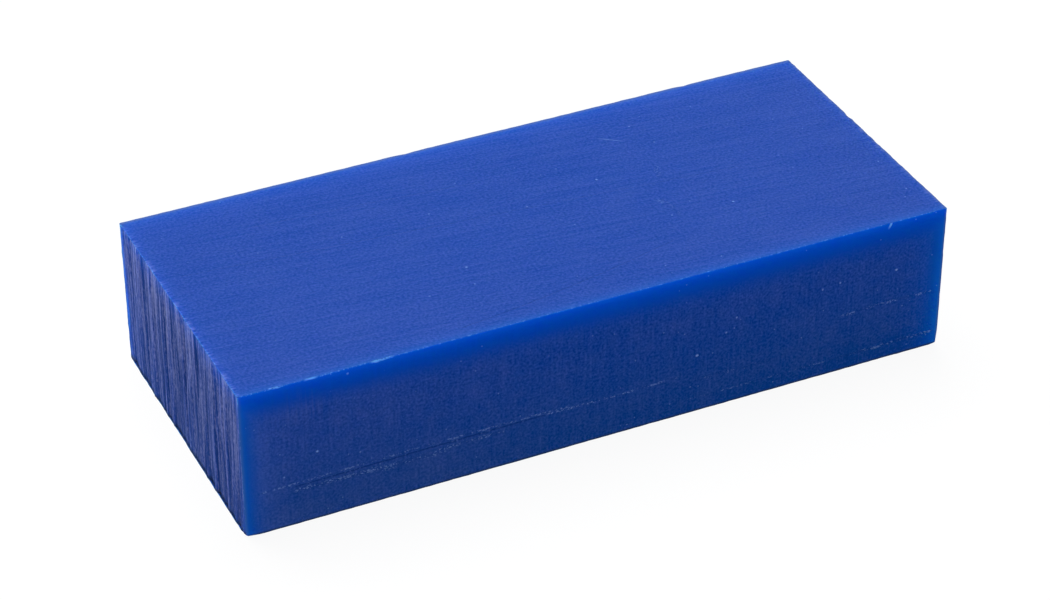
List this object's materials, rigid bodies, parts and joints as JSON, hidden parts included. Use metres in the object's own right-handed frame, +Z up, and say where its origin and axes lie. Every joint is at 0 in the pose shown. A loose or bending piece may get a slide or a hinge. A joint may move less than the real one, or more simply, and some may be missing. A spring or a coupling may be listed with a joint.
{
  "type": "clay bar",
  "caption": "Solid rectangular bar of waxy blue compound with flat faces and saw-cut ends, kneaded or rubbed on by hand for paint detailing.",
  "frame": {"origin": "centre of the base, on the plane that the bar lies on", "axes": "+X along the length, +Y across the width, +Z up through the thickness; the two sawn ends face -X and +X"},
  "size_m": [0.088, 0.0382, 0.0191],
  "materials": {
    "clay_blue": "satin"
  },
  "bodies": {
    "root": {"clay_bar": "clay_blue"}
  },
  "joints": []
}
